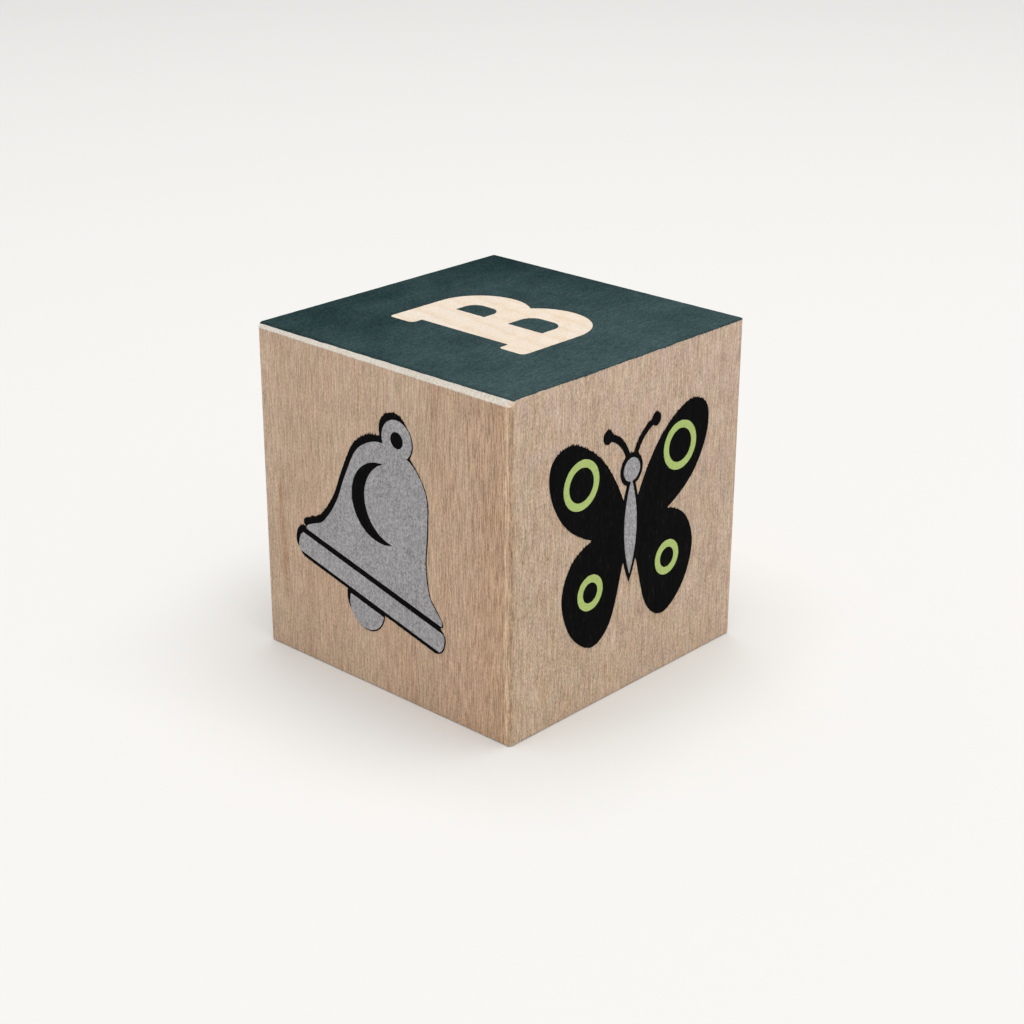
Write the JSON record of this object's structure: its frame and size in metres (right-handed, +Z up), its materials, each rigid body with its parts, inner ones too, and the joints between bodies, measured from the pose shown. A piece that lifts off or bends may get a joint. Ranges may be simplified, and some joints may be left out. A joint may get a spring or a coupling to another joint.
{
  "type": "alphabet block",
  "caption": "Solid wooden alphabet block with slightly eased edges, a letter left bare in a dark green printed top and simple black, grey and green pictures printed on its sides.",
  "frame": {"origin": "middle of the underside, on the surface that the block stands on", "axes": "+Z up along the wood's grain, the front face looks along -Y, and the letter on the top reads upright with +X to its right"},
  "size_m": [0.0448, 0.0448, 0.0454],
  "materials": {
    "bare_wood": "sanded and unfinished",
    "dark_green_ink": "matte cured ink",
    "light_green_ink": "matte cured ink",
    "black_ink": "matte cured ink",
    "grey_ink": "matte cured ink"
  },
  "bodies": {
    "root": {"wood_block": "bare_wood", "letter_field_green_ink": "dark_green_ink", "butterfly_black_ink": "black_ink", "butterfly_rings_green_ink": "light_green_ink", "butterfly_body_grey_ink": "grey_ink", "bell_black_ink": "black_ink", "bell_grey_ink": "grey_ink", "ball_black_ink": "black_ink", "ball_seams_green_ink": "light_green_ink", "ball_shine_grey_ink": "grey_ink", "boat_black_ink": "black_ink", "boat_grey_ink": "grey_ink"}
  },
  "joints": []
}
